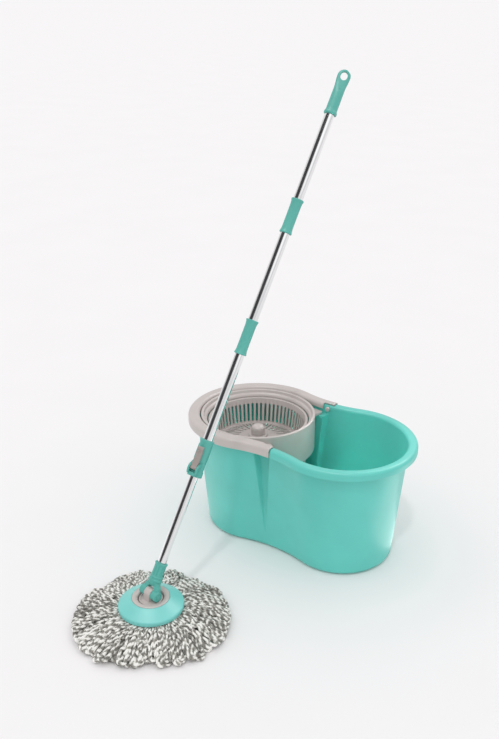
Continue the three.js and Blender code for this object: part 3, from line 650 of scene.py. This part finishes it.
for s in (-1, 1):
    lug = to_object(prism(rounded([(72, s * 96), (94, s * 84), (99, s * 109), (68, s * 112)], 2.5), "z", 242, 247), "lug")
    cut(lug, cyl("z", 124, 200, 300, seg=SEG))
    cut(lug, cyl("z", 125.3, 200, 243.9, seg=SEG))
    cut(wf, lug, "UNION")
cut(wf, cyl("z", 4.3, 150, 200, seg=32))
wf.data.transform(Matrix.Translation((-0.108, 0, 0)))
finish_piece(wf, GREY, "bucket", ["wringer_frame", "wringer_cradle"], "grey_plastic", angle=34)

# ------------------------------------------------------------------ spin basket
SL = 64
wall = rounded([(88, 184.8), (97.5, 184.8), (104.9, 240.4), (109.3, 242.2), (109.3, 246.5), (103.8, 246.5), (95.6, 188.6), (88, 188.7)], [0, 2.0, 1.6, 0.8, 1.7, 1.7, 1.0, 0], 5)
sb = to_object(lathe(wall, SL * 4), "basket_body")
flr = rounded([(7.3, 184), (13, 184), (15, 196), (30, 197), (89, 184.9), (89, 188.8), (86, 189.4), (30, 200.6), (21, 203.2), (20.6, 207), (19.6, 208), (12.6, 208), (12.6, 222), (7.3, 222)], [0, 0.6, 1, 1, 0, 0, 0.5, 4, 2, 0.8, 0.8, 0.6, 0.6, 0], 5)
cut(sb, lathe(flr, 128), "UNION")
slot = [(-2.4, 193.4), *arc(0, 193.4, 2.4, 180, 360, 8)[1:-1], (2.4, 193.4), (2.4, 231.6), *arc(0, 231.6, 2.4, 0, 180, 8)[1:-1], (-2.4, 231.6)]
cut(sb, join(*[prism(slot, "x", 93, 112).moved(Matrix.Rotation(2 * math.pi * (i + 0.5) / SL, 4, "Z")) for i in range(SL)]))


def radial_slot(r0, r1, w):
    return [(r0, -w), *arc(r0, 0, w, 270, 90, 8)[1:-1], (r0, w), (r1, w), *arc(r1, 0, w, 90, -90, 8)[1:-1], (r1, -w)]


cut(sb, join(*[prism(radial_slot(67.6 if i % 2 else 45.6, 85.2, 1.6), "z", 178, 204).moved(Matrix.Rotation(2 * math.pi * (i + 0.5) / SL, 4, "Z")) for i in range(SL)]))
sb.data.transform(Matrix.Translation((-0.108, 0, 0)))
finish_piece(sb, GREY_IN, "basket", ["spin_basket", "basket_floor"], "grey_plastic", angle=34)

cap = rounded([(15.2, 208.3), (15.2, 221), (14.2, 224.6), (11.6, 227.2), (7.5, 228.7), (0, 229.3), (0, 226.4), (8, 225.4), (12.9, 222.6), (12.9, 208.3)], [0.6, 1, 1, 1, 1, 0, 0, 1, 1, 0.4])
hc = to_object(lathe(cap, 72).moved(WR), "basket_post_cap")
finish_piece(hc, GREY, "basket", ["basket_hub_cap"], "grey_plastic", angle=40)

# ------------------------------------------------------------------ pole
def pole_piece(m, name, mat, body, node, slot_name, frame_m=POLE, **kw):
    o = to_object(m, name) if isinstance(m, M) else m
    o.data.transform(Matrix.Scale(0.001, 4) @ frame_m @ Matrix.Scale(1000, 4))
    return finish_piece(o, mat, body, [node], slot_name, **kw)


def tube(ro, ri, z0, z1, seg=96):
    return lathe(rounded([(ri, z0), (ro, z0), (ro, z1), (ri, z1)], 0.25, 3), seg)


for nm, z0, z1 in (("top", 753.6, 1005.5), ("middle", 512.7, 753.2), ("lower", 239.8, 512.3)):
    pole_piece(tube(9.3, 8.6, z0, z1), f"outer_tube_{nm}", CHROME, "upper_pole", f"pole_tube_{nm}", "chrome_tube")
pole_piece(tube(8.3, 7.6, 30.4, 321.8), "inner_tube_chromed", CHROME, "lower_pole", "inner_tube", "chrome_tube")


def connector(z0, z1):
    """Waisted grip sleeve with shallow flats, flared at both ends."""
    seg = 96
    prof = [(9.6, z0 + 0.4), (10.2, z0), (11.6, z0), (12.05, z0 + 0.5), (12.15, z0 + 1.4), (12.0, z0 + 2.4), (11.5, z0 + 3.9), (11.05, z0 + 6), (10.7, z0 + 10), (10.6, z0 + 16), (10.6, z0 + 26)]
    prof += [(r, z0 + z1 - z) for r, z in reversed(prof)]
    m = lathe(prof, seg)
    mid = (z0 + z1) / 2
    v = m.v
    a = np.arctan2(v[:, 1], v[:, 0])
    r = np.hypot(v[:, 0], v[:, 1])
    w = np.clip(1 - np.abs(v[:, 2] - mid) / ((z1 - z0) / 2 - 6), 0, 1) ** 0.5 * (r > 10.3)
    flat = np.abs(np.cos(4 * a)) ** 8
    r2 = r - 0.6 * w * flat
    v[:, 0], v[:, 1] = r2 * np.cos(a), r2 * np.sin(a)
    return m


pole_piece(connector(720, 787), "connector_grip_upper", TEAL_FIT, "upper_pole", "pole_connector_upper", "teal_plastic")
pole_piece(connector(478, 546), "connector_grip_lower", TEAL_FIT, "upper_pole", "pole_connector_lower", "teal_plastic")

# hang cap: barrel blending into a flattened loop with an oval eye
EYE = POLE @ Matrix.Rotation(40 * D2R, 4, "Z")


def hang_cap():
    n, rings_ = 96, []
    for z, a, b, e in [(957, 12.0, 12.0, 2), (957.5, 12.45, 12.45, 2), (959.4, 12.6, 12.6, 2), (961.4, 12.45, 12.45, 2), (963, 11.7, 11.7, 2), (964.6, 11.15, 11.15, 2), (968, 10.95, 10.95, 2), (984, 10.9, 10.9, 2), (996, 10.9, 10.8, 2), (1003, 10.8, 10.2, 2.1), (1008, 10.8, 9.0, 2.3), (1012, 11.0, 7.4, 2.5),
                       (1016, 11.35, 5.9, 2.8), (1020, 11.8, 5.0, 3), (1025, 12.4, 4.7, 3.2), (1030, 12.6, 4.6, 3.2), (1034, 12.55, 4.6, 3.2), (1037, 11.9, 4.6, 3.2), (1039.6, 10.6, 4.55, 3.1), (1041.8, 8.6, 4.4, 3), (1043.6, 6.1, 4.0, 2.8), (1044.7, 3.6, 3.2, 2.5), (1045.1, 1.6, 1.6, 2.2)]:
        ring = []
        for i in range(n):
            t = 2 * math.pi * i / n
            c, s = math.cos(t), math.sin(t)
            ring.append((a * math.copysign(abs(c) ** (2 / e), c), b * math.copysign(abs(s) ** (2 / e), s), z))
        rings_.append(ring)
    o = to_object(loft(rings_), "hang_cap_loop")
    cut(o, cyl("z", 9.6, 930, 1006, seg=64))
    eye = [*arc(0, 1035, 6.5, 0, 180, 18), *arc(0, 1030.5, 6.5, 180, 360, 18)]
    cut(o, prism(eye, "y", -12, 12))
    return o


pole_piece(hang_cap(), "hang_cap_loop", TEAL_FIT, "upper_pole", "hang_cap", "teal_plastic", EYE, bevel=1.0, seg=3, bevel_angle=42)

# lock collar with cheeks, and its lever
lc = to_object(lathe(rounded([(8.6, 226), (14.2, 226), (14.2, 236), (12.8, 238.4), (12.8, 291.5), (13.6, 293.6), (13.6, 298), (9.6, 298), (9.6, 231.4), (8.6, 231.4)], [0.2, 1, 1, 0.8, 0.8, 0.8, 0.8, 0.3, 0, 0]), 96), "lock_collar_body")
for s in (-1, 1):
    cheek = rounded([(-8, 228), (-20, 230.5), (-23.2, 240), (-21.6, 247), (-16, 250.5), (-8, 256)], [0, 2.5, 3, 3, 3, 0], 5)
    x0, x1 = sorted((s * 6.6, s * 10.4))
    cut(lc, prism(cheek, "x", x0, x1), "UNION")
cut(lc, prism(rounded([(-10, 226.5), (-18.6, 226.8), (-19, 234), (-10, 234)], [0, 1.5, 1, 0]), "x", -8, 8), "UNION")
for x in (-11.6, 11.6):
    cut(lc, prism(rounded([(-3.5, 258), (3.5, 258), (3.5, 288), (-3.5, 288)], 1.2), "x", *sorted((x, x * 1.12))), "UNION")
cut(lc, cyl("z", 9.6, 231.4, 310, seg=64))
cut(lc, cyl("z", 8.6, 200, 240, seg=64))
cut(lc, prism(rounded([(-30, 234.2), (-13.3, 234.2), (-13.3, 262), (-30, 262)], [0, 0.8, 0, 0]), "x", -6.3, 6.3))
cut(lc, cyl("x", 2.1, -30, 30, (-17.5, 243), 24))
pole_piece(lc, "lock_collar_body", TEAL_FIT, "upper_pole", "lock_collar", "teal_plastic", LOCK, bevel=0.45, seg=2, bevel_angle=46)

lv = rounded([*arc(-17.5, 243, 4, 150, 330, 14), (-13.9, 247), (-14.2, 260), (-14.4, 275), (-15.6, 282.4), (-17.4, 284.6), (-19.6, 283.4), (-20, 279), (-18.9, 262), (-20, 252)], 0.9, 3)
lever = to_object(prism(lv, "x", -5.9, 5.9), "lock_lever_body")
for z in (265, 269, 273, 277):
    cut(lever, cyl("x", 0.9, -4.4, 4.4, (-19.9, z), 20))
cut(lever, cyl("x", 2.1, -30, 30, (-17.5, 243), 24))
pole_piece(lever, "lock_lever_body", LEVER_GREY_PAINTED_SHADE, "lever", "lock_lever", "grey_plastic", LOCK, bevel=0.9, seg=3, bevel_angle=50)

# yoke
yk = to_object(lathe(rounded([(0, 17), (8.6, 17), (11.4, 21), (11.4, 23.6), (13.7, 24.8), (13.7, 27.6), (11.8, 28.8), (11.8, 31.2), (12.7, 31.8), (12.7, 33.2), (11.3, 34.4), (11.1, 55.4), (12.2, 57.6), (12.2, 60), (0, 60)], [0, 1, 1, 0.6, 0.9, 0.9, 0.5, 0.4, 0.5, 0.5, 0.8, 0.8, 0.6, 0.7, 0]), 128), "yoke_body")
crown = rounded([(-17.4, 0), (-18, 8), (-16.4, 14.5), (-12.2, 20), (-10.6, 25), (10.6, 25), (12.2, 20), (16.4, 14.5), (18, 8), (17.4, 0)], [0, 3, 4, 3, 1, 1, 3, 4, 3, 0], 6)
cut(yk, prism(crown, "y", -5.6, 5.6), "UNION")
for s in (-1, 1):
    prof = rounded([(0, 0), (9.9, 0), (9.9, 13.2), (6.6, 13.2), (6.2, 12.2), (4.4, 12.2), (3.9, 13.0), (0, 13.0)], [0, 0.6, 2.8, 0.5, 0.3, 0.3, 0.4, 0], 8)
    ear = lathe(prof, 72).moved(Matrix.Translation((s * 8.8, 0, 0)) @ Matrix.Rotation(s * math.pi / 2, 4, "Y"))
    cut(yk, ear, "UNION")
slot_ = [(-8.6, -20), (8.6, -20), *[(8.6 * math.cos(a * D2R), 10.6 + 4 * math.sin(a * D2R)) for a in range(0, 181, 12)]]
cut(yk, prism(slot_, "y", -20, 20))
cut(yk, cyl("z", 8.6, 30, 70, seg=64))
cut(yk, cyl("x", 3.3, -30, 19.4, (0, 0), 32))
for i in range(10):                              # grip flutes round the socket
    a = 2 * math.pi * (i + 0.5) / 10
    cut(yk, cyl("z", 1.35, 35.5, 54.5, (11.5 * math.cos(a), 11.5 * math.sin(a)), 20))
pole_piece(yk, "yoke_body", TEAL_FIT, "lower_pole", "head_yoke", "teal_plastic", bevel=0.5, seg=2, bevel_angle=44)

# ------------------------------------------------------------------ head
def head_piece(m, name, mat, node, slot_name, **kw):
    return pole_piece(m, name, mat, "mop_head", node, slot_name, HEAD, **kw)


lg = to_object(lathe(rounded([(0, 44.6), (27, 44.6), (27, 49.4), (22.6, 49.6), (22.6, 55.0), (21.2, 55.8), (19.6, 55.4), (18.8, 54.2), (14, 55.0), (0, 55.8)], [0, 0.4, 0.4, 0.2, 0.5, 0.6, 0.5, 0.8, 2, 0]), 96), "lug_body")
out = [(-13.5, 50), (-12.2, 56), *arc(0, 67, 10.2, 186, -6, 30), (12.2, 56), (13.5, 50)]
cut(lg, prism(out, "x", -8, 8), "UNION")
cut(lg, cyl("x", 3.3, -30, 30, (0, 67), 32))
head_piece(lg, "lug_body", GREY, "head_lug", "grey_plastic", bevel=0.8, seg=3, bevel_angle=46)

disc = lathe(rounded([(36.2, 55.2), (59.6, 42.2), (59.6, 37.2), (61, 36.4), (62.3, 37), (62.3, 43.4), (61, 45.3), (37.6, 58.3), (36.2, 58.3)], [0, 1, 0.3, 0.4, 0.5, 1.4, 1.8, 0.6, 0.3], 5), 192)
head_piece(disc, "disc_shell", TEAL_DISC_PAINTED_HIGHLIGHT, "mop_disc", "teal_plastic")
ring = lathe(rounded([(24.8, 50), (40, 50), (40, 52.4), (35.8, 54.6), (35.8, 58.6), (34.4, 59.6), (29.4, 59.4), (26.0, 58.0), (24.8, 56.0)], [0.2, 0.3, 0.3, 0.2, 0.8, 1, 1.2, 1.0, 0.8], 5), 160)
head_piece(ring, "ring_insert", GREY, "disc_ring", "grey_plastic")

# ------------------------------------------------------------------ yarn
def yarn_tube(path, rad, sides=8, twist=0.55, ply0=0.0, bright=0.0):
    """Two-ply twisted yarn along a path in millimetres: vertices, faces and a ply value for each vertex."""
    P = np.asarray(path, float)
    T = np.gradient(P, axis=0)
    T /= np.linalg.norm(T, axis=1)[:, None]
    nrm = np.cross(T[0], (0, 0, 1.0))
    if np.linalg.norm(nrm) < 1e-3:
        nrm = np.array((1.0, 0, 0))
    nrm /= np.linalg.norm(nrm)
    s = np.concatenate([[0], np.cumsum(np.linalg.norm(np.diff(P, axis=0), axis=1))])
    v, pl = [], []
    N = len(P)
    for i in range(N):
        nrm = nrm - T[i] * nrm.dot(T[i])
        nrm /= np.linalg.norm(nrm)
        bn = np.cross(T[i], nrm)
        th = 2 * np.pi * np.arange(sides) / sides
        ph = 2 * (th - twist * s[i] * 0.9 - ply0)
        r = rad[i] * (1 + 0.2 * np.cos(ph))
        v.append(P[i] + np.outer(np.cos(th) * r, nrm) + np.outer(np.sin(th) * r, bn))
        pl.append(0.02 + 0.24 * np.tanh(2.0 * np.cos(th - twist * s[i] * 0.9 - ply0)) + bright)
    v = np.concatenate(v)
    pl = np.concatenate(pl)
    f = []
    for i in range(N - 1):
        for j in range(sides):
            a, b = i * sides + j, i * sides + (j + 1) % sides
            f.append((a, b, b + sides, a + sides))
    f.append(tuple(range(sides - 1, -1, -1)))
    f.append(tuple(range((N - 1) * sides, N * sides)))
    return v, f, pl


def smooth_noise(n, amp, knots):
    k = rng.normal(0, 1, knots)
    x = np.linspace(0, knots - 1, n)
    i = np.clip(x.astype(int), 0, knots - 2)
    t = x - i
    t = t * t * (3 - 2 * t)
    return amp * (k[i] * (1 - t) + k[i + 1] * t)


def reach_at(a):
    """The head lies a little unevenly: shorter to the front and back, with slow waves along the edge."""
    c = math.cos(a + 45.7 * D2R)
    w = 2.6 * math.sin(3 * a + 0.4) + 2.2 * math.sin(5 * a + 2.1) + 1.8 * math.sin(8 * a + 4.0) + 1.4 * math.sin(13 * a + 1.2)
    return -20 * max(0.0, c) ** 2 - 8 * max(0.0, -c) ** 2 + w


def build_yarn():
    V, F, PL, k = [], [], [], 0
    layers = [  # count, start radius, start height, reach, height past the disc's edge, end height
        (70, 56.5, 32.3, 145, 35.0, 12.0),
        (72, 56.5, 31.0, 143, 30.0, 8.0),
        (68, 56.0, 29.5, 138, 25.0, 5.2),
        (56, 55.0, 28.0, 126, 19.5, 4.2),
        (44, 54.0, 26.5, 110, 13.5, 3.8),
    ]
    for li, (cnt, r0, z0, reach, ztop, zend) in enumerate(layers):
        for i in range(cnt):
            a0 = 2 * math.pi * (i + 0.5 * (li % 2) + rng.uniform(-0.25, 0.25)) / cnt
            R1 = reach + reach_at(a0) + rng.normal(0, 5.5)
            R1 = min(R1, 149.0)
            half = rng.uniform(3.2, 5.2) / 100           # half the loop's opening, as an angle at reach
            side = rng.normal(0, 0.05)
            n = 34
            t = np.linspace(0, 1, n)
            legs = []
            for sgn in (-1, 1):
                r = r0 + (R1 - r0) * t
                wob = smooth_noise(n, 2.6, 10) * np.sin(np.pi * t) ** 0.5
                a = a0 + side * t ** 1.5 + sgn * (half * t ** 0.8 + 0.8 / r) + wob / r
                hump = smooth_noise(n, 1.6, 10) * np.sin(np.pi * t) ** 0.5
                # rises over the layers below by the edge of the disc, then falls towards the floor
                z = z0 + (ztop - z0) * np.clip(t * 4, 0, 1) ** 0.8
                fall = np.clip((t - 0.12) / 0.88, 0, 1)
                z = z * (1 - fall ** 1.7) + (zend + rng.uniform(-0.6, 1.5)) * fall ** 1.7 + hump
                legs.append(np.stack([r * np.cos(a), r * np.sin(a), z], 1))
            # bulging loop end
            p0, p1 = legs[0][-1], legs[1][-1]
            out_dir = np.array([math.cos(a0 + side), math.sin(a0 + side), -0.25])
            m = 7
            end = []
            for j in range(1, m):
                u = j / m
                end.append(p0 * (1 - u) + p1 * u + out_dir * 4.6 * math.sin(math.pi * u))
            path = np.concatenate([legs[0], end, legs[1][::-1]])
            rad0 = rng.uniform(2.25, 2.85)
            q = np.concatenate([t, np.ones(m - 1), t[::-1]])
            rad = rad0 * (0.78 + 0.42 * q ** 1.3) * (1 + smooth_noise(len(path), 0.07, 14))
            path[:, 2] = np.maximum(path[:, 2], rad * 1.2 + 0.05)
            rr = np.hypot(path[:, 0], path[:, 1])
            lim = 150.5
            sc = np.where(rr + rad > lim, (lim - rad) / rr, 1)
            path[:, 0] *= sc
            path[:, 1] *= sc
            v, f, pl = yarn_tube(path, rad, 8, rng.uniform(0.36, 0.62), rng.uniform(0, 6.28), rng.normal(0, 0.09))
            V.append(v)
            PL.append(pl)
            F += [tuple(x + k for x in q_) for q_ in f]
            k += len(v)
    V = np.concatenate(V)
    PL = np.concatenate(PL)
    me = bpy.data.meshes.new("yarn_loops")
    hm = np.array(HEAD)
    W = (V @ hm[:3, :3].T + hm[:3, 3]) * 0.001
    me.from_pydata(W.tolist(), [], F)
    at = me.attributes.new("ply", "FLOAT", "POINT")
    at.data.foreach_set("value", PL.astype(np.float32))
    for pgn in me.polygons:
        pgn.use_smooth = True
    o = bpy.data.objects.new("yarn_loops", me)
    scene.collection.objects.link(o)
    me.materials.append(YARN)
    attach(o, "mop_head")
    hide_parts("mop_strands")
    return o


build_yarn()

# ------------------------------------------------------------------ carried-over CAD nodes
for name, mat in {
    "basket_spindle": STEEL, "thrust_washer": NYLON, "basket_bush": NYLON, "joint_plug_upper": NYLON, "joint_plug_lower": NYLON,
    "twist_rod": STEEL, "rod_anchor": NYLON, "rod_end_stop": STEEL, "lever_pin": STEEL, "guide_bush": NYLON, "drive_nut": NYLON,
    "yoke_pin": STEEL, "retaining_plate": GREY, "retainer_screw_1": STEEL, "retainer_screw_2": STEEL, "retainer_screw_3": STEEL, "refill_ring": NYLON,
}.items():
    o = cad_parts[name]
    o.data.materials.clear()
    o.data.materials.append(mat)
